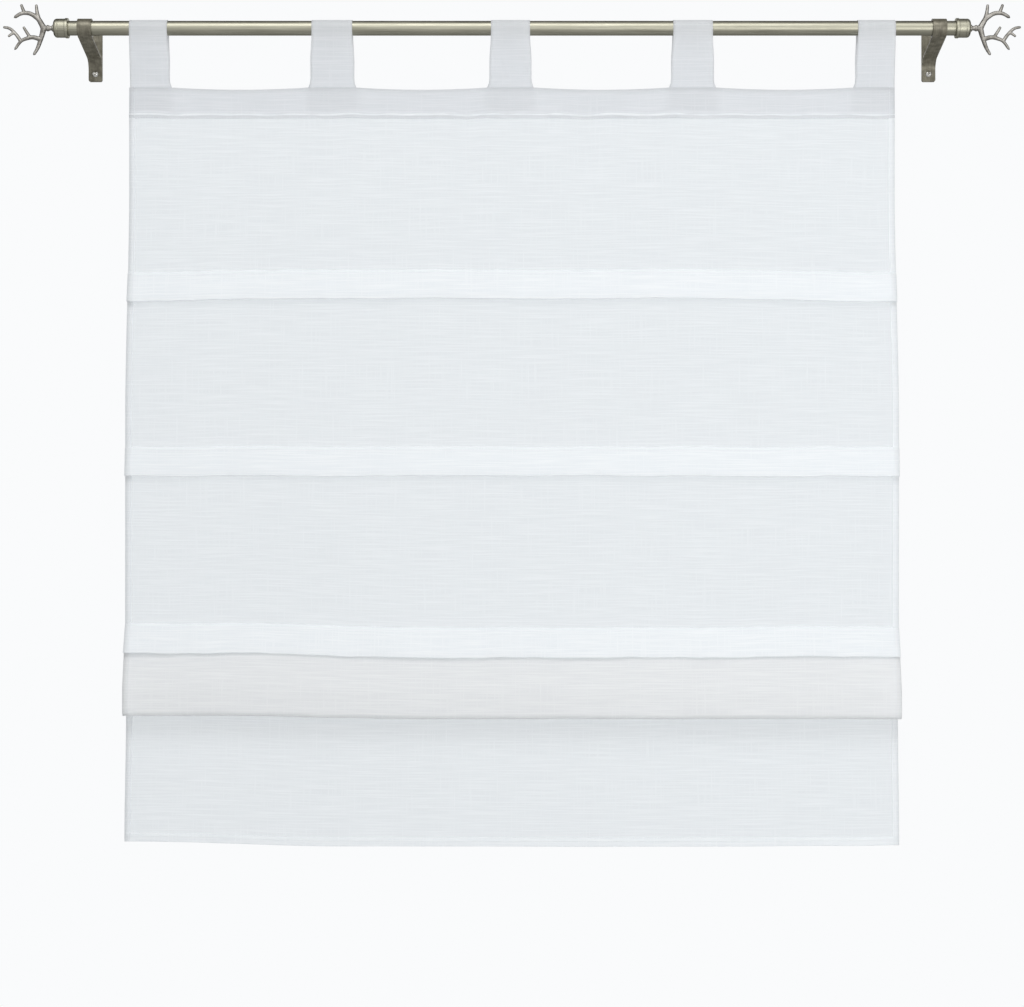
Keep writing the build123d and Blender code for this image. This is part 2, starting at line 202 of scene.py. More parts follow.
def makeVoile(name, **cloth):
    look = voileLook
    material, tree = newMaterial(name)
    flat = addNode(tree, "ShaderNodeTexCoord").outputs["UV"]
    waveScale = 2 * math.pi / 20 / (look["thread"] * mm)  # at a scale of 1 the bands lie 2 pi / 20 apart
    threads = []
    for direction in ("X", "Y"):
        threads.append(addNode(tree, "ShaderNodeTexWave", {
            "Vector": flat, "Scale": waveScale, "Distortion": 0.6, "Detail": 1.0, "Detail Scale": 0.6,
        }, bands_direction=direction).outputs["Fac"])
    weave = mathOf(tree, "MAXIMUM", *threads)
    long, wide, deep = look["slub"]
    weft = noiseOf(tree, (long, wide, deep), 2.0, look["slubRoughness"], "UV")
    warp = noiseOf(tree, (wide, long, deep), 2.0, look["slubRoughness"], "UV")
    slub = mathOf(tree, "MAXIMUM", weft, mathOf(tree, "SUBTRACT", warp, look["warpFainter"]))
    thin, dense = cloth["cover"] - look["weaveThin"], cloth["cover"] + look["weaveDense"]
    woven = rampBetween(tree, weave, thin, dense, *look["weaveSpan"])
    covered = mathOf(tree, "ADD", woven, rampBetween(tree, slub, *look["slubCover"]), use_clamp=True)
    tint = tintOf(tree, rampBetween(tree, slub, 0.0, 1.0, *look["slubTone"]), cloth)
    face = principled(tree, {
        "Base Color": tint, "Roughness": look["rough"], "Sheen Weight": look["sheen"],
        "Specular IOR Level": look["gloss"], "Normal": bumpOf(tree, weave, look),
    })
    through = addNode(tree, "ShaderNodeBsdfTranslucent", {"Color": tint}).outputs["BSDF"]
    # Sheer cloth lets much of the light on to what hangs behind it: shade is the share that its shadow keeps.
    shadow = addNode(tree, "ShaderNodeLightPath").outputs["Is Shadow Ray"]
    hiding = mathOf(tree, "MULTIPLY", covered, rampBetween(tree, shadow, 1.0, cloth["shade"]))
    closeMaterial(tree, mixOf(tree, hiding, clearOf(tree), mixOf(tree, cloth["glow"], face, through)))
    return material


# Clear moulded plastic, as of curtain rings: glossy, nearly colourless, a trace of flow marks.
plasticLook = dict(colour="#f4f6f7", flow=3.0, rough=(0.072, 0.192), ior=1.49, cover=0.3)


def makeClearPlastic():
    look = plasticLook
    material, tree = newMaterial("clearPlastic")
    flow = noiseOf(tree, (look["flow"],) * 3, 2.0)
    shell = principled(tree, {
        "Base Color": hexColour(look["colour"]), "IOR": look["ior"],
        "Roughness": rampBetween(tree, flow, *look["rough"]),
    })
    closeMaterial(tree, mixOf(tree, look["cover"], clearOf(tree), shell))
    return material


nickel = makeBrushedNickel()
silver = makeMottled("castSilver", castLook)
pewter = makeMottled("darkPewter", pewterLook)
zinc = makeGrained("zincSteel", zincLook)
# A closed thin sheet has two faces, so each covers less. A tab is double: each of its faces is one layer.
voileSingle = makeVoile("voileSingle", cover=0.46, shade=0.25, glow=0.18, light="#ebf0f3", dark="#e5eaee")
voileDouble = makeVoile("voileDouble", cover=0.72, shade=0.5, glow=0.15, light="#eef0f3", dark="#e9ecef")
# Tucks and hems, where layers lie close, and then the deep fold, each with a lighter tint than the single
# layer: painted highlight standing in for the light they catch.
voileTuckedPaintedLight = makeVoile("voileTuckedPaintedLight", cover=0.92, shade=0.36, glow=0.05, light="#f8fbfd", dark="#f3f7fa")
voileFoldedPaintedLight = makeVoile("voileFoldedPaintedLight", cover=0.88, shade=0.9, glow=0.08, light="#fafcfd", dark="#f5f7f9")
thread = makeGrained("sewingThread", threadLook)
clearPlastic = makeClearPlastic()
print("finishes ready:", len(bpy.data.materials))


def makePiece(name, mesh, material, smooth=True, sharpAngle=None):
    piece = bpy.data.objects.new(name, mesh)
    scene.collection.objects.link(piece)
    mesh.materials.append(material)
    if smooth:
        mesh.shade_smooth()
    if sharpAngle:
        mesh.set_sharp_from_angle(angle=math.radians(sharpAngle))
    return piece


def dress(piece, body, slot, *nodes):
    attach(piece, body)
    if nodes:
        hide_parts(*nodes)
    return piece


def meshFrom(name, bm):
    mesh = bpy.data.meshes.new(name)
    bm.to_mesh(mesh)
    bm.free()
    return mesh


def settled(piece):
    # The piece's mesh with its modifiers applied, as a plain mesh on the same object.
    graph = bpy.context.evaluated_depsgraph_get()
    mesh = bpy.data.meshes.new_from_object(piece.evaluated_get(graph))
    piece.modifiers.clear()
    old = piece.data
    piece.data = mesh
    bpy.data.meshes.remove(old)
    return piece


def roundedPath(points, radii, arcSteps, runSteps):
    # A 2D path through points whose inner corners are arcs; the counts don't depend on the sizes.
    points = [np.array(point, float) for point in points]
    path = [points[0]]
    for index in range(1, len(points) - 1):
        corner, radius = points[index], radii[index - 1]
        back = points[index - 1] - corner
        ahead = points[index + 1] - corner
        back /= np.linalg.norm(back)
        ahead /= np.linalg.norm(ahead)
        half = math.acos(max(-1.0, min(1.0, float(back @ ahead)))) / 2
        reach = radius / math.tan(half)
        middle = corner + (back + ahead) / np.linalg.norm(back + ahead) * radius / math.sin(half)
        first, last = corner + back * reach, corner + ahead * reach
        for step in range(1, runSteps[index - 1]):
            path.append(path[-1] + (first - path[-1]) / (runSteps[index - 1] - step + 1))
        spin = math.pi - 2 * half
        turn = spin if back[0] * ahead[1] - back[1] * ahead[0] < 0 else -spin
        for step in range(arcSteps + 1):
            angle = turn * step / arcSteps
            arm = first - middle
            path.append(middle + np.array((
                arm[0] * math.cos(angle) - arm[1] * math.sin(angle),
                arm[0] * math.sin(angle) + arm[1] * math.cos(angle),
            )))
        path[-1] = last
    for step in range(1, runSteps[-1] + 1):
        path.append(path[-1] + (points[-1] - path[-1]) / (runSteps[-1] - step + 1))
    return path


tiny = 1e-7  # metres: points closer than this are one


def joinRings(bm, rings, steps):
    # Faces between rings of points; a ring of one point closes the form.
    for one, two in zip(rings[:-1], rings[1:]):
        for step in range(steps):
            after = (step + 1) % steps
            corners = [one[step % len(one)], one[after % len(one)]]
            corners += [two[after % len(two)], two[step % len(two)]]
            bm.faces.new(list(dict.fromkeys(corners)))


def turnedMesh(name, profile, origin, axis, steps):
    # A profile of (along, radius) pairs turned about the axis; a radius of zero closes it.
    turn = axis.to_track_quat("Z", "Y").to_matrix()
    angles = [2 * math.pi * step / steps for step in range(steps)]
    bm = bmesh.new()
    rings = []
    for along, radius in profile:
        points = [(radius * math.cos(angle), radius * math.sin(angle), along) for angle in angles]
        if radius <= tiny:
            points = points[:1]
        rings.append([bm.verts.new(Vector(origin) + turn @ Vector(point)) for point in points])
    joinRings(bm, rings, steps)
    bmesh.ops.remove_doubles(bm, verts=bm.verts, dist=tiny)
    bmesh.ops.recalc_face_normals(bm, faces=bm.faces)
    return meshFrom(name, bm)


# Rod: a drawn tube with softly broken ends.
rodSettings = dict(wall=1.0, edge=0.25, edgeSteps=3, runSteps=(12, 1, 12, 1, 12), steps=96, sharpAngle=40)


def makeRod():
    s = rodSettings
    half = (rodHigh.x - rodLow.x) / 2
    inner = rodRadius - s["wall"] * mm
    ends = [(half, rodRadius), (half, inner), (-half, inner), (-half, rodRadius)]
    corners = [(0, rodRadius), *ends, (0, rodRadius)]
    profile = roundedPath(corners, [s["edge"] * mm] * len(ends), s["edgeSteps"], s["runSteps"])
    mesh = turnedMesh("rod", profile, (0, rodY, rodZ), Vector((1, 0, 0)), s["steps"])
    piece = makePiece("rod", mesh, nickel, sharpAngle=s["sharpAngle"])
    dress(piece, "rod_set", "satin_nickel", "rod_tube")


# End caps: turned, with a bead at the mouth, a fine groove and a rounded shoulder.
capSettings = dict(
    bore=9.65, rim=13.0, rimWidth=4.0, body=12.25, boreDepth=13.5, pin=2.65, rimRound=0.7, shoulder=4.3,
    groove=0.35, grooveWidth=0.9, grooveAt=12.6, fine=0.2, arcSteps=6, steps=96, sharpAngle=50,
)


def makeCaps():
    s = {name: value * mm for name, value in capSettings.items()}
    for side, hand in ((1, "right"), (-1, "left")):
        node = f"end_cap_{hand}"
        low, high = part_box(node)
        mouth, end = (low.x, high.x) if side > 0 else (-high.x, -low.x)
        middle, floor = mouth + s["boreDepth"] / 2, mouth + s["boreDepth"]
        groove, rim = mouth + s["grooveAt"], mouth + s["rimWidth"]
        corners = [
            (middle, s["bore"]), (mouth, s["bore"]), (mouth, s["rim"]), (rim, s["rim"]), (rim, s["body"]),
            (groove, s["body"]), (groove + s["grooveWidth"] / 2, s["body"] - s["groove"]),
            (groove + s["grooveWidth"], s["body"]),
            (end, s["body"]), (end, s["pin"]), (floor, s["pin"]), (floor, s["bore"]), (middle, s["bore"]),
        ]
        fine = s["fine"]
        radii = [fine, s["rimRound"], s["rimRound"], *[fine] * 4, s["shoulder"], *[fine] * 3]
        profile = roundedPath(corners, radii, capSettings["arcSteps"], [1] * (len(corners) - 1))
        mesh = turnedMesh(node, profile, (0, rodY, rodZ), Vector((side, 0, 0)), capSettings["steps"])
        piece = makePiece(f"cap.{hand}", mesh, nickel, sharpAngle=capSettings["sharpAngle"])
        dress(piece, "rod_set", "satin_nickel", node)


# Antler finials: cast branches that fork from a turned neck.
# Branch points are shares of reach, rise and bow; then the root and end radius in millimetres.
antlerSettings = dict(
    reach=67.0, rise=33.0, bow=6.0, stout=1.18, ringSteps=14, spineSteps=26, neckSteps=40, arcSteps=4,
    pin=2.5, collar=4.5, collarLength=2.5, neck=3.0, burr=4.3, burrStart=5.0, burrLength=6.0, hub=3.5,
    hubLength=0.7, hubEnd=0.6, fine=0.3, burrFoot=1.5, tipStart=0.94, tipLength=0.06, tipLeast=0.02,
    uneven=0.05, unevenScale=330, voxel=0.42, tumble=0.5, tumbles=4,
)
antlerBranches = (
    ((
        (0.20, 0.0, 0.0), (0.25, 0.19, 0.1), (0.31, 0.37, 0.25),
        (0.46, 0.56, 0.45), (0.62, 0.55, 0.7), (0.77, 0.38, 0.6),
    ), 3.4, 1.75),
    ((
        (0.20, 0.0, 0.0), (0.232, -0.24, -0.1), (0.275, -0.50, -0.3),
        (0.33, -0.78, -0.45), (0.41, -1.05, -0.5),
    ), 3.4, 1.55),
    (((0.29, 0.33, 0.2), (0.325, 0.62, 0.2), (0.35, 0.95, -0.2)), 2.6, 1.45),
    (((0.555, 0.54, 0.6), (0.60, 0.76, 0.5), (0.635, 0.93, 0.1)), 2.1, 1.4),
    ((
        (0.26, -0.43, -0.25), (0.41, -0.365, 0.15), (0.54, -0.43, 0.35),
        (0.645, -0.55, 0.4), (0.765, -0.87, 0.2),
    ), 2.7, 1.45),
    (((0.45, -0.40, 0.2), (0.53, -0.15, 0.5), (0.585, 0.04, 0.6)), 2.0, 1.4),
    (((0.63, -0.55, 0.4), (0.73, -0.26, 0.1), (0.86, -0.01, -0.2), (1.0, 0.06, -0.4)), 2.15, 1.45),
    (((0.76, -0.16, 0.05), (0.83, -0.25, 0.2), (0.88, -0.35, 0.5)), 1.65, 1.25),
)


def splineThrough(points, steps):
    # Smooth points along a curve through the given ones.
    points = [2 * points[0] - points[1], *points, 2 * points[-1] - points[-2]]
    line = []
    for a, b, c, d in zip(points, points[1:], points[2:], points[3:]):
        bend, twist = 2 * a - 5 * b + 4 * c - d, 3 * b - a - 3 * c + d
        for step in range(steps):
            t = step / steps
            line.append(0.5 * (2 * b + (c - a) * t + bend * t**2 + twist * t**3))
    line.append(points[-2])
    return line


def addTube(bm, line, rootRadius, endRadius):
    s = antlerSettings
    steps = s["ringSteps"]
    angles = [2 * math.pi * step / steps for step in range(steps)]
    rings = []
    for place, centre in enumerate(line):
        share = place / (len(line) - 1)
        along = (line[min(place + 1, len(line) - 1)] - line[max(place - 1, 0)]).normalized()
        across = along.cross(Vector((0, 1, 0))).normalized()
        up = along.cross(across)
        radius = rootRadius + (endRadius - rootRadius) * share
        tip = max(0.0, share - s["tipStart"]) / s["tipLength"]  # the last stretch rounds off to the tip
        uneven = 1 + s["uneven"] * noise.noise(centre * s["unevenScale"])
        radius *= math.sqrt(max(s["tipLeast"], 1 - tip**2)) * uneven
        rings.append([bm.verts.new(
            centre + across * radius * math.cos(angle) + up * radius * math.sin(angle)
        ) for angle in angles])
    joinRings(bm, rings, steps)
    bm.faces.new(rings[0][::-1])
    bm.faces.new(rings[-1])


def antlerNeck(bm, pinStart, start):
    s = antlerSettings
    split = start + antlerBranches[0][0][0][0] * s["reach"] * mm
    collarEnd = start + s["collarLength"] * mm
    pin, collar, neck, burr, hub = [s[name] * mm for name in ("pin", "collar", "neck", "burr", "hub")]
    corners = [
        (pinStart, 0), (pinStart, pin), (start, pin), (start, collar), (collarEnd, collar), (collarEnd, neck),
        (start + s["burrStart"] * mm, neck), (start + (s["burrStart"] + s["burrLength"] / 2) * mm, burr),
        (start + (s["burrStart"] + s["burrLength"]) * mm, neck), (split, hub),
        (split + s["hub"] * s["hubLength"] * mm, s["hub"] * s["hubEnd"] * mm), (split + hub, 0),
    ]
    fine = s["fine"] * mm
    radii = [*[fine] * 7, s["burrFoot"] * mm, fine, fine]
    profile = roundedPath(corners, radii, s["arcSteps"], [1] * (len(corners) - 1))
    mesh = turnedMesh("neck", profile, (0, rodY, rodZ), Vector((1, 0, 0)), s["neckSteps"])
    bm.from_mesh(mesh)
    bpy.data.meshes.remove(mesh)


def makeAntlers():
    s = antlerSettings
    for side, hand in ((1, "right"), (-1, "left")):
        node = f"antler_finial_{hand}"
        capLow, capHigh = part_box(f"end_cap_{hand}")
        low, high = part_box(node)
        start, pinStart = (capHigh.x, low.x) if side > 0 else (-capLow.x, -high.x)
        bm = bmesh.new()
        antlerNeck(bm, pinStart, start)
        for shares, rootRadius, endRadius in antlerBranches:
            points = [Vector((
                start + along * s["reach"] * mm, rodY - out * s["bow"] * mm, rodZ + up * s["rise"] * mm,
            )) for along, up, out in shares]
            line = splineThrough(points, s["spineSteps"] // (len(points) - 1))
            addTube(bm, line, rootRadius * s["stout"] * mm, endRadius * s["stout"] * mm)
        if side < 0:
            bmesh.ops.scale(bm, vec=(-1, 1, 1), verts=bm.verts)
        bmesh.ops.recalc_face_normals(bm, faces=bm.faces)
        name = f"antler.{hand}"
        piece = makePiece(name, meshFrom(name, bm), silver)
        remesh = piece.modifiers.new("cast", "REMESH")
        remesh.mode = "VOXEL"
        remesh.voxel_size = s["voxel"] * mm
        smooth = piece.modifiers.new("tumbled", "SMOOTH")
        smooth.factor = s["tumble"]
        smooth.iterations = s["tumbles"]
        settled(piece)
        piece.data.shade_smooth()
        dress(piece, "rod_set", "cast_silver", node)


# Brackets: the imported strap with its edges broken.
bracketSettings = dict(weld=1e-6, flatAngle=0.5, edge=0.35, edgeSteps=3, edgeAngle=28, sharpAngle=40)


def makeBrackets():
    s = bracketSettings
    for node in ("bracket_left", "bracket_right"):
        bm = bmesh.new()
        bm.from_mesh(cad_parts[node].data)
        bmesh.ops.remove_doubles(bm, verts=bm.verts, dist=s["weld"])
        flat = math.radians(s["flatAngle"])
        bmesh.ops.dissolve_limit(bm, angle_limit=flat, verts=bm.verts, edges=bm.edges)
        name = node.replace("_", ".")
        piece = makePiece(name, meshFrom(name, bm), pewter)
        bevel = piece.modifiers.new("brokenEdges", "BEVEL")
        bevel.width = s["edge"] * mm
        bevel.segments = s["edgeSteps"]
        bevel.limit_method = "ANGLE"
        bevel.angle_limit = math.radians(s["edgeAngle"])
        settled(piece)
        piece.data.set_sharp_from_angle(angle=math.radians(s["sharpAngle"]))
        dress(piece, "rod_set", "dark_pewter", node)


def instanceTree(name, sizes):
    # A node tree with a geometry input and named sizes, its input node and the sizes' identifiers.
    tree = bpy.data.node_groups.new(name, "GeometryNodeTree")
    for way in ("INPUT", "OUTPUT"):
        tree.interface.new_socket("Geometry", in_out=way, socket_type="NodeSocketGeometry")
    sockets = {}
    for label in sizes:
        socket = tree.interface.new_socket(label, in_out="INPUT", socket_type="NodeSocketFloat")
        sockets[label] = socket.identifier
    return tree, addNode(tree, "NodeGroupInput"), sockets


def closeTree(tree, points, instance, rotation, material):
    placed = addNode(tree, "GeometryNodeInstanceOnPoints", {
        "Points": points, "Instance": instance, "Rotation": rotation,
    }).outputs["Instances"]
    real = addNode(tree, "GeometryNodeRealizeInstances", {"Geometry": placed}).outputs["Geometry"]
    painted = addNode(tree, "GeometryNodeSetMaterial", {"Geometry": real, "Material": material})
    addNode(tree, "NodeGroupOutput", {"Geometry": painted.outputs["Geometry"]})


def runTree(piece, tree, sockets, sizes):
    modifier = piece.modifiers.new(tree.name, "NODES")
    modifier.node_group = tree
    for label, value in sizes.items():
        modifier[sockets[label]] = value
    return settled(piece)


# Wall screws: pan heads with a cross recess, set on four points by their own node tree.
screwSettings = dict(
    headRadius=4.0, headHeight=2.8, rim=0.9, shank=1.7, plain=4.48, threadRadius=2.0, threadRoot=1.36,
    threadPitch=1.5, threadCrest=0.525, depth=30.0, point=6.0, upperSeat=-2.0, lowerSeat=-4.5,
    crossWidth=0.7, crossReach=1.75, crossDepth=3.4, crossTaper=0.35, headRings=22, steps=72,
    sharpAngle=35, twist=0.7,
)


def screwMesh():
    s = {name: value * mm for name, value in screwSettings.items()}
    crown = s["headHeight"] - s["rim"]
    dome = (s["headRadius"] ** 2 + crown**2) / (2 * crown)
    profile = []
    for ring in range(screwSettings["headRings"] + 1):
        radius = s["headRadius"] * ring / screwSettings["headRings"]
        profile.append((-s["headHeight"] + dome - math.sqrt(dome**2 - radius**2), radius))
    profile += [(0, s["headRadius"]), (0, s["shank"]), (s["plain"], s["shank"])]
    for turn in range(int((s["depth"] - s["point"] - s["plain"]) / s["threadPitch"])):
        base = s["plain"] + turn * s["threadPitch"]
        profile += [(base + s["threadCrest"], s["threadRadius"]), (base + s["threadPitch"], s["threadRoot"])]
    profile.append((s["depth"], 0))
    mesh = turnedMesh("screw", profile, (0, 0, 0), Vector((0, 1, 0)), screwSettings["steps"])
    for vertex in mesh.vertices:
        across, up = abs(vertex.co.x), abs(vertex.co.z)
        inCross = min(across, up) < s["crossWidth"] and max(across, up) < s["crossReach"]
        if vertex.co.y < -s["rim"] and inCross:
            taper = screwSettings["crossTaper"] * max(across, up) / s["crossReach"]
            vertex.co.y += s["crossDepth"] * (1 - taper)
    return mesh


def makeWallScrews():
    s = screwSettings
    model = makePiece("screwModel", screwMesh(), zinc, sharpAngle=s["sharpAngle"])
    low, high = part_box("wall_screws")
    inset = s["headRadius"] * mm
    places = []
    for side in (-1, 1):
        for edge, seat in ((high.z, s["upperSeat"]), (low.z, s["lowerSeat"])):
            places.append((side * (high.x - inset), seat * mm, edge - math.copysign(inset, edge)))
    seats = bpy.data.meshes.new("screwSeats")
    seats.from_pydata(places, [], [])
    piece = makePiece("wallScrews", seats, zinc, smooth=False)
    tree, start, sockets = instanceTree("screwSet", ["Twist"])
    source = addNode(tree, "GeometryNodeObjectInfo", {"Object": model}, transform_space="ORIGINAL")
    index = addNode(tree, "GeometryNodeInputIndex").outputs["Index"]
    twist = mathOf(tree, "MULTIPLY", index, start.outputs["Twist"])
    turn = addNode(tree, "ShaderNodeCombineXYZ", {"Y": twist}).outputs["Vector"]
    closeTree(tree, start.outputs["Geometry"], source.outputs["Geometry"], turn, zinc)
    runTree(piece, tree, sockets, {"Twist": s["twist"]})
    bpy.data.objects.remove(model)
    dress(piece, "rod_set", "screw_steel", "wall_screws")


makeRod()
makeCaps()
makeAntlers()
makeBrackets()
makeWallScrews()
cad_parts["lock_screws"].data.materials.clear()
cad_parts["lock_screws"].data.materials.append(zinc)
print("rod set dressed")


# The voile panel. Sizes are the sewn ones, in millimetres below the rod's axis or from the panel's plane.
# A span is two places, across or down, between which a change grows from nothing to its full size.
panelSettings = dict(
    width=1000.0, thickness=0.35, layerPitch=1.4, crease=0.45, roundShare=0.45,
    columns=160, rowPitch=11.0, arcSteps=4,
    headerDrop=77.0, headerSag=3.0,
    ridgeDrop=35.5, ridgeHalf=4.5, ridgeReach=1.3, ridgeLeast=0.3, ridgeRound=2.5,
    seamDrops=(315.5, 545.8, 780.5), tuckDepth=36.5, tuckNose=2.2, standOffs=(2.6, 2.6, 1.8), standLeast=0.6,
    endBand=26.0, endStands=(0.8, 1.6, 1.6), endDroop=3.0, droopSpan=(250, 490),
    foldDepth=116.3, foldReach=22.0, foldShoulder=80.0, foldBend=60.0, foldNose=16.0, foldEdge=6.5,
    foldEnd=1.2, foldLift=5.0, foldSpan=(100, 400), raisedStep=10.0,
    hemDrop=1065.0, hemDepth=8.0, hemLift=6.5, hemSpan=(220, 480), cornerLift=1.5, cornerBand=60.0,
    sideHem=8.0, hemTurn=2.0, hemGap=0.15, hemShares=(0.0, 0.12, 0.4, 0.7, 1.0),
    topNarrow=2.4, lowSpread=3.0, spreadSpan=(200, 520), hemSpread=2.0,
)
firstTuck, tuckCorners = 4, 6  # where the first tuck's corners start along the sheet, and how many each has
tabSettings = dict(
    count=5, width=49.0, widths=(49.5, 53.0, 51.0, 51.5, 49.0), shifts=(1.2, 3.0, -2.0, -1.8, 0.0),
    lean=2.0, leanSpan=(8, 45), flareWidth=3.0, flare=12.0, kneeSpan=(12, 40), footLow=-2.0, footHigh=18.0,
    cloth=0.8, clearance=0.3, tail=28.0, neck=6.0, seamGap=0.3,
    columns=14, tailSteps=6, legSteps=10, loopSteps=22,
)
sewnFace = 0.25  # from the middle of the sewn cloth to its face
tabPitch = (panelSettings["width"] - tabSettings["width"]) / (tabSettings["count"] - 1)
# The tabs are sewn on by hand, so each is a little off its mark and its width.
tabPlaces = []
for number, shift in enumerate(tabSettings["shifts"]):
    tabPlaces.append((number - (tabSettings["count"] - 1) / 2) * tabPitch + shift)
# Uneven waves in the cloth: the height, the width across, the length down and the seed of each.
clothWaves = dict(
    drift=((2.2, 260, 420, 1), (1.1, 90, 260, 2)), pucker=((0.8, 12, 50, 3), (0.5, 33, 50, 4)),
    sway=((2.4, 210, 700, 5),), ridge=((1.2, 16, 1, 71), (0.9, 47, 1, 72)), crest=((2.0, 38, 1, 73),),
    seam=((1.6, 130, 1, 6), (0.8, 28, 1, 16)), stand=((1.8, 110, 1, 9), (0.9, 34, 1, 19)),
    tuckEdge=((1.1, 150, 1, 12), (0.5, 40, 1, 22)), foldReach=((1.6, 170, 1, 31),),
    foldEdge=((1.4, 180, 1, 32), (0.5, 45, 1, 33)), hem=((0.9, 160, 1, 34),),
    tab=((0.9, 22, 60, 40), (0.4, 9, 40, 50)),
)
seedGap = 17.3
driftSettings = dict(grow=160, pull=1.6, pullFade=120, pullStart=40, puckerFade=14)


def waves(name, x, z=0.0, step=0):
    return sum(
        height * noise.noise(Vector((x / wide, z / long, (seed + step) * seedGap)))
        for height, wide, long, seed in clothWaves[name]
    )


def smoothStep(value, start, end):
    t = min(1.0, max(0.0, (value - start) / (end - start)))
    return t * t * (3 - 2 * t)


def headerDip(x):
    # The top edge sags between two tabs, by this much at the place x in millimetres.
    t = tabSettings
    roots = [width / 2 + t["lean"] + t["flareWidth"] for width in t["widths"]]
    for number in range(t["count"] - 1):
        start, end = tabPlaces[number] + roots[number], tabPlaces[number + 1] - roots[number + 1]
        if start < x < end:
            share = (x - start) / (end - start)
            return 4 * panelSettings["headerSag"] * share * (1 - share)
    return 0.0


def drift(x, drop):
    # How far the hanging cloth swings towards the viewer, in millimetres, at a place on the panel.
    p, d = panelSettings, driftSettings
    below = drop - p["headerDrop"]
    if below <= 0:
        return 0.0
    swing = smoothStep(below, 0, d["grow"]) * waves("drift", x, drop)
    pull = d["pull"] * math.cos(2 * math.pi * (x - tabPlaces[0]) / tabPitch)
    pull *= math.exp(-below / d["pullFade"]) * smoothStep(below, 0, d["pullStart"])
    puckers = 0.0
    for line in (p["headerDrop"] + p["ridgeDrop"], *p["seamDrops"], p["hemDrop"] - p["hemDepth"]):
        puckers += math.exp(-abs(drop - line) / d["puckerFade"]) * waves("pucker", x, line)
    free = smoothStep(drop, p["seamDrops"][-1] + p["foldDepth"], p["hemDrop"])
    return swing + pull + puckers + free * waves("sway", x, drop)


def panelCorners(x):
    # The corners of the folded sheet at one place across, each as (out, up) and the radius of its turn.
    p = panelSettings
    pitch, half = p["layerPitch"], p["width"] / 2
    edge = smoothStep(abs(x), half - p["endBand"], half)
    ridge = max(p["ridgeLeast"], p["ridgeReach"] + waves("ridge", x))
    crest = -p["headerDrop"] - p["ridgeDrop"] + waves("crest", x)
    corners = [
        ((0.0, -p["headerDrop"] - headerDip(x)), 0),
        ((0.0, crest + p["ridgeHalf"]), p["ridgeRound"]),
        ((-ridge, crest), p["ridgeRound"]),
        ((0.0, crest - p["ridgeHalf"]), p["ridgeRound"]),
    ]
    # The first tuck droops at both ends, and the last one and the fold hang higher towards the left.
    lift = p["foldLift"] * smoothStep(-x, *p["foldSpan"])
    hangs = (-p["endDroop"] * smoothStep(abs(x), *p["droopSpan"]), 0.0, lift)
    overs = (0.0, 0.0, p["foldReach"] * p["tuckDepth"] / p["foldShoulder"])  # the last tuck lies on the fold
    front = -2 * pitch
    nose = p["roundShare"] * p["tuckNose"]
    for number, over in enumerate(overs):
        seam = hangs[number] - p["seamDrops"][number] + waves("seam", x, step=number)
        stand = p["standOffs"][number] + over + waves("stand", x, step=number)
        stand = max(over + p["standLeast"], stand) + edge * p["endStands"][number]
        bottom = seam - p["tuckDepth"] - waves("tuckEdge", x, step=number)
        corners += [
            ((0.0, seam + pitch), p["crease"]),
            ((front, seam - pitch), p["crease"]),
            ((front - stand, bottom), nose),
            ((front - stand + p["tuckNose"], bottom), nose),
            ((-pitch, seam - 2 * pitch), p["crease"]),
            ((0.0, seam - 2 * pitch), p["crease"]),
        ]
    top = lift - p["seamDrops"][-1]
    reach = -p["foldReach"] - waves("foldReach", x) - edge * p["foldEnd"]
    bottom = top - p["foldDepth"] - waves("foldEdge", x)
    raised = top - p["raisedStep"]
    hem = -p["hemDrop"] + waves("hem", x) + p["hemLift"] * smoothStep(-x, *p["hemSpan"])
    hem += p["cornerLift"] * smoothStep(x, half - p["cornerBand"], half)
    fine = p["roundShare"] * pitch
    corners += [
        ((reach, top - p["foldShoulder"]), p["foldBend"]),
        ((reach, bottom), p["foldEdge"]),
        ((reach + p["foldNose"], bottom), p["roundShare"] * p["foldNose"]),
        ((2 * pitch, raised), fine), ((3 * pitch, raised), fine),
        ((3 * pitch, raised - p["tuckDepth"]), fine), ((4 * pitch, raised - p["tuckDepth"]), fine),
        ((4 * pitch, raised - pitch), fine), ((5 * pitch, raised - pitch), fine),
        ((5 * pitch, hem), fine), ((6 * pitch, hem), fine),
        ((6 * pitch, hem + p["hemDepth"]), 0),
    ]
    return corners


def panelColumn(x):
    # Points of the folded sheet at one place across, as (out, up) from the panel's plane and the rod's axis.
    corners = panelCorners(x)
    points = [point for point, turn in corners]
    turns = [turn for point, turn in corners[1:-1]]
    return roundedPath(points, turns, panelSettings["arcSteps"], panelRuns)


def runCounts():
    points = [point for point, turn in panelCorners(0.0)]
    lengths = [math.dist(one, two) for one, two in zip(points[:-1], points[1:])]
    return [max(1, round(length / panelSettings["rowPitch"])) for length in lengths]


panelRuns = runCounts()


def cornerRows():
    # The row of the sheet at which each corner's turn starts.
    rows = [0]
    for run in panelRuns[:-1]:
        turnStart = rows[-1] + run + (panelSettings["arcSteps"] if len(rows) > 1 else 0)
        rows.append(turnStart)
    return rows


def rowCloths(count):
    # The cloth of each row of the sheet: 0 single, 1 tucked, 2 the sewn header, 3 the deep fold.
    rows = cornerRows()
    cloths = np.zeros(count, int)
    for number in range(len(panelSettings["seamDrops"])):
        tuck = firstTuck + tuckCorners * number
        cloths[rows[tuck]:rows[tuck + 3]] = 1
    fold = firstTuck + tuckCorners * len(panelSettings["seamDrops"]) - 1
    cloths[rows[fold]:rows[fold + 4]] = 3
    cloths[rows[-2] - 1:] = 1  # the bottom hem
    cloths[:rows[firstTuck - 1] + 2] = 2
    # Painted highlight: the ridge's crest takes the lighter tucked cloth, so that it shows as a bright line.
    cloths[rows[2]:rows[2] + panelSettings["arcSteps"]] = 1  # the ridge's crest
    return cloths


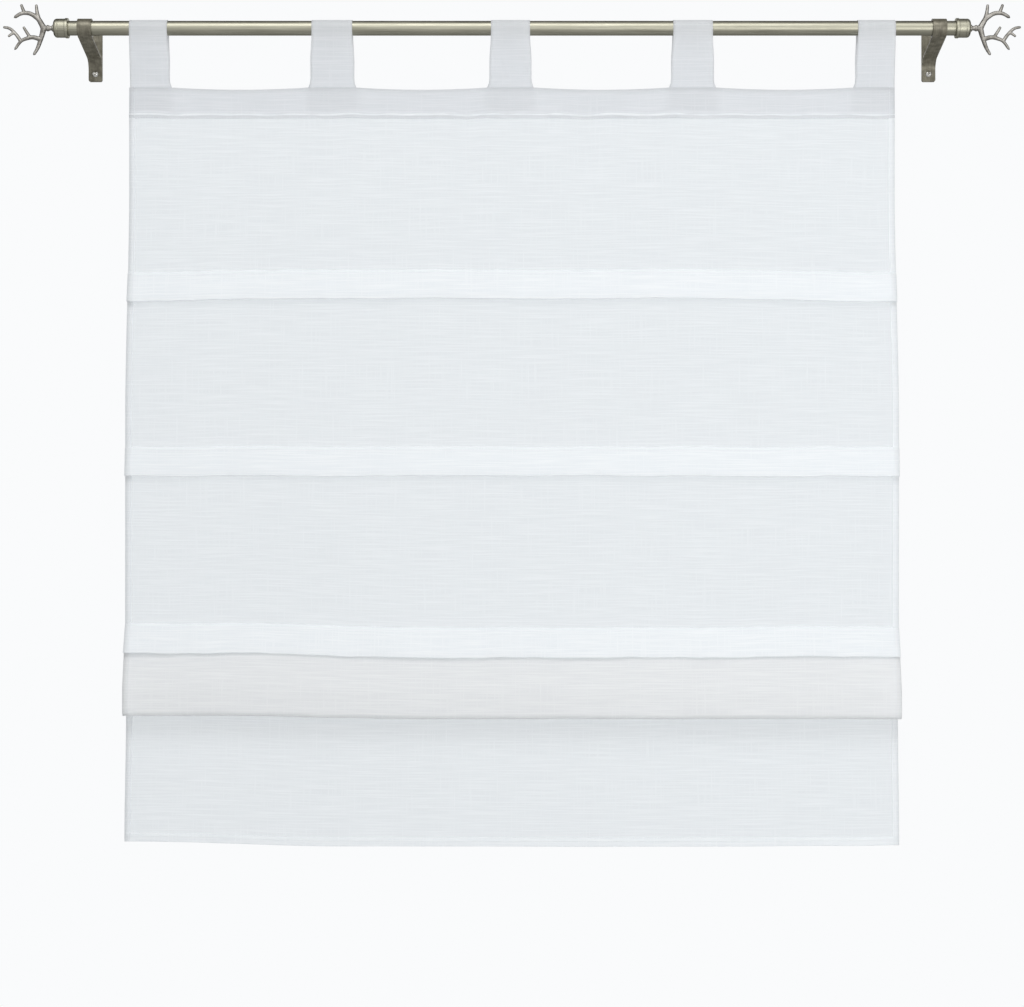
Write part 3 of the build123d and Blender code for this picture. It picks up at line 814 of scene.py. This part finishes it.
def clothPoint(x, out, up):
    # A point of the hanging cloth in metres, with the drift and the slight spread towards the hem.
    p = panelSettings
    low = smoothStep(-up, *p["spreadSpan"])
    narrow = p["topNarrow"] * (1 - low) - p["lowSpread"] * low
    narrow -= p["hemSpread"] * smoothStep(-up, p["seamDrops"][-1] + p["foldDepth"], p["hemDrop"])
    spread = 1 - narrow / (p["width"] / 2)
    return Vector((x * spread * mm, rodY + (out - drift(x, -up)) * mm, rodZ + up * mm))


def besideColumn(x, back):
    # The sheet's column at x, moved from its middle towards its back by so many millimetres.
    path = panelColumn(x)
    points = []
    for place, (out, up) in enumerate(path):
        ahead = path[min(place + 1, len(path) - 1)] - path[max(place - 1, 0)]
        ahead = ahead / np.linalg.norm(ahead)
        points.append(clothPoint(x, out - ahead[1] * back, up + ahead[0] * back))
    return points


def sheetMesh(name, columns, places, lengths):
    # A grid mesh of point columns, with a UV map in metres: across, then along the cloth.
    rows = len(columns[0])
    vertices = [point for column in columns for point in column]
    faces = []
    for column in range(len(columns) - 1):
        for row in range(rows - 1):
            corner = column * rows + row
            faces.append((corner, corner + 1, corner + rows + 1, corner + rows))
    mesh = bpy.data.meshes.new(name)
    mesh.from_pydata(vertices, [], faces)
    flat = np.zeros((len(vertices), 2))
    for column, across in enumerate(places):
        flat[column * rows:(column + 1) * rows, 0] = across * mm
        flat[column * rows:(column + 1) * rows, 1] = lengths
    corners = np.zeros(len(mesh.loops), int)
    mesh.loops.foreach_get("vertex_index", corners)
    mesh.uv_layers.new(name="clothUv").data.foreach_set("uv", flat[corners].ravel())
    return mesh


def alongLengths(points):
    steps = [0.0, *[(two - one).length for one, two in zip(points[:-1], points[1:])]]
    return np.cumsum(steps)


def thicken(piece, thickness):
    solid = piece.modifiers.new("clothThickness", "SOLIDIFY")
    solid.thickness = thickness * mm
    solid.offset = 0.0
    solid.use_even_offset = False
    return piece


def makePanel():
    p = panelSettings
    half = p["width"] / 2
    inner = half - p["sideHem"]
    between = [inner * (2 * column / (p["columns"] - 2) - 1) for column in range(p["columns"] - 1)]
    places = [-half, *between, half]
    columns = [[clothPoint(x, out, up) for out, up in panelColumn(x)] for x in places]
    lengths = alongLengths(columns[p["columns"] // 2])
    piece = makePiece("voilePanel", sheetMesh("voilePanel", columns, places, lengths), voileSingle)
    for cloth in (voileTuckedPaintedLight, voileDouble, voileFoldedPaintedLight):
        piece.data.materials.append(cloth)
    cloths = np.tile(rowCloths(len(lengths) - 1), (p["columns"], 1))
    cloths[[0, -1]] = np.maximum(cloths[[0, -1]], 1)  # the side hems
    piece.data.polygons.foreach_set("material_index", cloths.ravel())
    thicken(piece, p["thickness"])
    hems = []
    for side, name in ((-1, "sideHem.left"), (1, "sideHem.right")):
        hemPlaces = [side * (half - p["sideHem"] * share) for share in p["hemShares"]]
        backs = [0.0, *[p["thickness"] + p["hemGap"]] * (len(hemPlaces) - 1)]
        hemColumns = [besideColumn(x, back) for x, back in zip(hemPlaces, backs)]
        if side > 0:
            hemColumns.reverse()
            hemPlaces.reverse()
        hem = makePiece(name, sheetMesh(name, hemColumns, hemPlaces, lengths), voileTuckedPaintedLight)
        hems.append(dress(thicken(hem, p["thickness"]), "curtain", "voile"))
    dress(piece, "curtain", "voile", "voile_panel")
    return piece, hems, lengths[-1]


def straightRun(one, two, steps):
    # Even places from one point up to, but without, the other.
    return [tuple(a + (b - a) * step / steps for a, b in zip(one, two)) for step in range(steps)]


def tabPath():
    # The tab's loop seen from the side, as (out, up) from the panel's plane and the rod's axis.
    t = tabSettings
    first = sewnFace + t["seamGap"] + t["cloth"] / 2
    second = first + t["cloth"] + t["seamGap"]
    radius = rodRadius / mm + t["clearance"] + t["cloth"] / 2
    tail = -panelSettings["headerDrop"] - t["tail"]
    neck = -panelSettings["headerDrop"] + t["neck"]
    touches = []
    for out, side in ((first, -1), (second, 1)):
        touch = math.atan2(neck, out) + side * math.acos(radius / math.hypot(out, neck))
        touches.append(touch % (2 * math.pi))
    start, end = touches
    if end > start:
        end -= 2 * math.pi
    angles = [start + (end - start) * step / t["loopSteps"] for step in range(t["loopSteps"] + 1)]
    loop = [(radius * math.cos(angle), radius * math.sin(angle)) for angle in angles]
    path = straightRun((first, tail), (first, neck), t["tailSteps"])
    path += straightRun((first, neck), loop[0], t["legSteps"])
    path += loop[:-1]
    path += straightRun(loop[-1], (second, neck), t["legSteps"])
    path += straightRun((second, neck), (second, tail), t["tailSteps"])
    return [*path, (second, tail)]


def makeTabs():
    t, p = tabSettings, panelSettings
    path = tabPath()
    top = -p["headerDrop"]
    spread = 1 - p["topNarrow"] / (p["width"] / 2)
    shares = [2 * column / t["columns"] - 1 for column in range(t["columns"] + 1)]
    tabs = []
    for number, (place, width) in enumerate(zip(tabPlaces, t["widths"]), start=1):
        columns = []
        for share in shares:
            column = []
            for out, up in path:
                rise = min(1.0, max(0.0, (up - top) / t["flare"]))
                flare = t["flareWidth"] * (1 - rise) ** 2 + t["lean"] * smoothStep(-up, *t["leanSpan"])
                if share * place > 0 and number in (1, t["count"]):
                    flare = 0.0  # the outer edge of an end tab runs straight down
                x = place + share * (width / 2 + flare)
                leg = smoothStep(-up, *t["kneeSpan"])
                leg *= smoothStep(up, top + t["footLow"], top + t["footHigh"])
                swing = out - leg * waves("tab", x, up, number) - drift(x, -up)
                column.append(Vector((x * spread * mm, rodY + swing * mm, rodZ + up * mm)))
            columns.append(column)
        lengths = alongLengths(columns[t["columns"] // 2])
        name = f"tab.{number}"
        mesh = sheetMesh(name, columns, [place + share * width / 2 for share in shares], lengths)
        piece = thicken(makePiece(name, mesh, voileDouble), t["cloth"])
        dress(piece, "curtain", "voile", f"tab_{number}")
        tabs.append((piece, width, lengths[-1]))
    return tabs


# The facing is a strip of the same voile behind the header.
facingSettings = dict(width=986.0, height=40.0, rows=6)


def makeFacing():
    t, f = tabSettings, facingSettings
    out = 2 * sewnFace + 2 * t["cloth"] + 3 * t["seamGap"]
    header = -panelSettings["headerDrop"]
    count = panelSettings["columns"]
    places = [f["width"] / 2 * (2 * column / count - 1) for column in range(count + 1)]
    columns = []
    for x in places:
        top, low = header - headerDip(x), header - f["height"]
        drops = [top + (low - top) * row / f["rows"] for row in range(f["rows"] + 1)]
        columns.append([clothPoint(x, out, drop) for drop in drops])
    mesh = sheetMesh("headerFacing", columns, places, alongLengths(columns[count // 2]))
    piece = thicken(makePiece("headerFacing", mesh, voileDouble), panelSettings["thickness"])
    return dress(piece, "curtain", "voile", "header_facing")


# Lock stitches in white thread along every seam, set by a node tree on lines that follow the cloth.
stitchSettings = dict(
    pitch=3.4, length=2.3, radius=0.26, lift=0.3, spots=400, reach=0.992, seamStep=1.5, hemStep=1.2,
    segments=6, rings=4,
)


def stitchLines():
    p, s = panelSettings, stitchSettings
    half = p["width"] / 2
    lift = -(p["thickness"] + s["lift"]) / 2
    spots = [half * (2 * spot / s["spots"] - 1) * s["reach"] for spot in range(s["spots"] + 1)]
    lines = [[clothPoint(x, lift, panelCorners(x)[firstTuck - 1][0][1]) for x in spots]]
    for number in range(len(p["seamDrops"])):
        line = []
        for x in spots:
            (out, up), turn = panelCorners(x)[firstTuck + tuckCorners * number + 1]
            line.append(clothPoint(x, out + lift, up - s["seamStep"]))
        lines.append(line)
    hemOut = 5 * p["layerPitch"] + lift
    lines.append([clothPoint(x, hemOut, panelCorners(x)[-1][0][1] - s["hemStep"]) for x in spots])
    for side in (-1, 1):
        lines.append(besideColumn(side * (half - p["sideHem"] + s["hemStep"]), lift))
    return lines


def makeStitches():
    s = stitchSettings
    vertices, edges = [], []
    for line in stitchLines():
        first = len(vertices)
        vertices += line
        edges += [(first + place, first + place + 1) for place in range(len(line) - 1)]
    mesh = bpy.data.meshes.new("stitches")
    mesh.from_pydata(vertices, edges, [])
    piece = makePiece("stitches", mesh, thread, smooth=False)
    tree, start, sockets = instanceTree("stitchRun", ["Pitch", "Length", "Radius"])
    curve = addNode(tree, "GeometryNodeMeshToCurve", {"Mesh": start.outputs["Geometry"]})
    spaced = addNode(tree, "GeometryNodeResampleCurve", {
        "Curve": curve.outputs["Curve"], "Length": start.outputs["Pitch"],
    }, mode="LENGTH")
    ball = addNode(tree, "GeometryNodeMeshUVSphere", {
        "Segments": s["segments"], "Rings": s["rings"], "Radius": 1.0,
    })
    scale = addNode(tree, "ShaderNodeCombineXYZ", {
        "X": start.outputs["Length"], "Y": start.outputs["Radius"], "Z": start.outputs["Radius"],
    })
    stitch = addNode(tree, "GeometryNodeTransform", {
        "Geometry": ball.outputs["Mesh"], "Scale": scale.outputs["Vector"],
    })
    tangent = addNode(tree, "GeometryNodeInputTangent").outputs["Tangent"]
    turned = addNode(tree, "FunctionNodeAlignRotationToVector", {"Vector": tangent}, axis="X")
    closeTree(tree, spaced.outputs["Curve"], stitch.outputs["Geometry"], turned.outputs["Rotation"], thread)
    runTree(piece, tree, sockets, {
        "Pitch": s["pitch"] * mm, "Length": s["length"] / 2 * mm, "Radius": s["radius"] * mm,
    })
    piece.data.shade_smooth()
    return dress(piece, "curtain", "voile")


# Lift rings: clear moulded rings sewn behind the seams, three to a row.
ringSettings = dict(radius=5.0, wire=1.0, columns=3, spacing=430.0, rise=-3.0, segments=40, sides=14)


def makeRings():
    p, s = panelSettings, ringSettings
    clear = sewnFace + tabSettings["seamGap"] + s["wire"]
    rows = [(drop, clear) for drop in p["seamDrops"]]
    rows.append((p["seamDrops"][-1] + p["raisedStep"], 5 * p["layerPitch"] + clear))
    seats = []
    for drop, out in rows:
        for column in range(s["columns"]):
            x = (column - (s["columns"] - 1) / 2) * s["spacing"]
            seats.append(clothPoint(x, out, s["rise"] - drop))
    mesh = bpy.data.meshes.new("liftRings")
    mesh.from_pydata(seats, [], [])
    piece = makePiece("liftRings", mesh, clearPlastic, smooth=False)
    tree, start, sockets = instanceTree("ringSet", ["Radius", "Wire"])
    circles = []
    for count, size in ((s["segments"], "Radius"), (s["sides"], "Wire")):
        circles.append(addNode(tree, "GeometryNodeCurvePrimitiveCircle", {
            "Resolution": count, "Radius": start.outputs[size],
        }, mode="RADIUS").outputs["Curve"])
    ring = addNode(tree, "GeometryNodeCurveToMesh", {"Curve": circles[0], "Profile Curve": circles[1]})
    closeTree(tree, start.outputs["Geometry"], ring.outputs["Mesh"], (math.pi / 2, 0.0, 0.0), clearPlastic)
    runTree(piece, tree, sockets, {"Radius": s["radius"] * mm, "Wire": s["wire"] * mm})
    piece.data.shade_smooth()
    return dress(piece, "curtain", "clear_plastic", "lift_rings")


panel, hems, panelLength = makePanel()
facing = makeFacing()
tabs = makeTabs()
stitches = makeStitches()
rings = makeRings()
print("curtain hung:", round(float(panelLength), 3), "m of cloth down the panel")


# Stage: a pale floor that fades out, a pale surround, one large soft key from above and two fills.
# A room level is what metal mirrors: two levels, and the two headings between which it changes.
stageSettings = dict(
    backdrop="#fafbfc", ambient=0.49, floor="#eeefef", floorZ=-1.62, floorSize=9.0, floorBack=1.15,
    fadeStart=0.35, fadeEnd=0.98,
)
roomLevels = dict(
    above=("Z", 0.5, 1.02, -0.5, -0.1), front=("Y", 1.0, 0.04, -0.42, 0.0),
    behind=("Y", 0.0, 0.6, 0.6, 0.95), under=("Z", 0.9, 0.0, -0.9, -0.5),
)
# Each lamp's name, place, target, width, height and power.
lampSettings = (
    ("key", (-0.4, -3.2, 3.2), (0.0, -0.08, -0.45), 3.6, 2.2, 78.0),
    ("fill", (1.4, -2.9, -0.85), (0.0, -0.08, -0.6), 1.8, 1.1, 24.0),
    ("back", (0.4, 1.8, 0.9), (0.0, -0.08, -0.5), 2.2, 1.4, 5.0),
)
cameraSettings = dict(place=(0.0, -2.96, -0.600), lens=78.0, sensor=36.0)
white = (1, 1, 1, 1)


def makeWorld():
    world = bpy.data.worlds.new("studio")
    scene.world = world
    world.use_nodes = True
    tree = world.node_tree
    tree.nodes.clear()
    rays = addNode(tree, "ShaderNodeLightPath").outputs
    seen = mathOf(tree, "MAXIMUM", rays["Is Camera Ray"], rays["Is Transmission Ray"])
    # Metal mirrors a room that is brightest above its front, dim below and at the sides, and fair far behind.
    heading = addNode(tree, "ShaderNodeTexCoord").outputs["Generated"]
    sides = addNode(tree, "ShaderNodeSeparateXYZ", {"Vector": heading}).outputs
    levels = {name: rampBetween(tree, sides[axis], *ramp) for name, (axis, *ramp) in roomLevels.items()}
    ends = mathOf(tree, "MAXIMUM", levels["front"], levels["behind"])
    level = mathOf(tree, "MULTIPLY", levels["above"], mathOf(tree, "MAXIMUM", ends, levels["under"]))
    backdrop, ambient, room = [
        addNode(tree, "ShaderNodeBackground", {"Color": colour, "Strength": strength}).outputs["Background"]
        for colour, strength in (
            (hexColour(stageSettings["backdrop"]), 1.0), (white, stageSettings["ambient"]), (white, level),
        )
    ]
    unseen = mixOf(tree, rays["Is Glossy Ray"], ambient, room)
    addNode(tree, "ShaderNodeOutputWorld", {"Surface": mixOf(tree, seen, unseen, backdrop)})


def makeFloor():
    s = stageSettings
    half = s["floorSize"] / 2
    middle = (0, s["floorBack"] - half, s["floorZ"])
    bm = bmesh.new()
    bmesh.ops.create_grid(bm, x_segments=1, y_segments=1, size=half)
    bmesh.ops.translate(bm, verts=bm.verts, vec=middle)
    material, tree = newMaterial("paleFloor")
    place = addNode(tree, "ShaderNodeTexCoord").outputs["Object"]
    spot = addNode(tree, "ShaderNodeVectorMath", {0: place, 1: middle}, operation="DISTANCE").outputs["Value"]
    solid = rampBetween(tree, spot, 1.0, 0.0, half * s["fadeStart"], half * s["fadeEnd"])
    matt = addNode(tree, "ShaderNodeBsdfDiffuse", {"Color": hexColour(s["floor"])}).outputs["BSDF"]
    closeMaterial(tree, mixOf(tree, solid, clearOf(tree), matt))
    floor = makePiece("floor", meshFrom("floor", bm), material, smooth=False)
    floor.visible_glossy = False  # so the metal's underside mirrors the dim room


def makeLamps():
    for name, place, target, width, height, power in lampSettings:
        lamp = bpy.data.lights.new(name, "AREA")
        lamp.shape = "RECTANGLE"
        lamp.size, lamp.size_y = width, height
        lamp.energy = power
        holder = bpy.data.objects.new(name, lamp)
        holder.location = place
        holder.rotation_euler = (Vector(target) - Vector(place)).to_track_quat("-Z", "Y").to_euler()
        scene.collection.objects.link(holder)


def makeCamera():
    data = bpy.data.cameras.new("photoView")
    data.lens = cameraSettings["lens"]
    data.sensor_width = cameraSettings["sensor"]
    data.sensor_fit = "HORIZONTAL"
    camera = bpy.data.objects.new("photoView", data)
    camera.location = cameraSettings["place"]
    camera.rotation_euler = (math.pi / 2, 0, 0)
    scene.collection.objects.link(camera)
    scene.camera = camera


makeWorld()
makeFloor()
makeLamps()
makeCamera()
print("stage, lights and camera set")
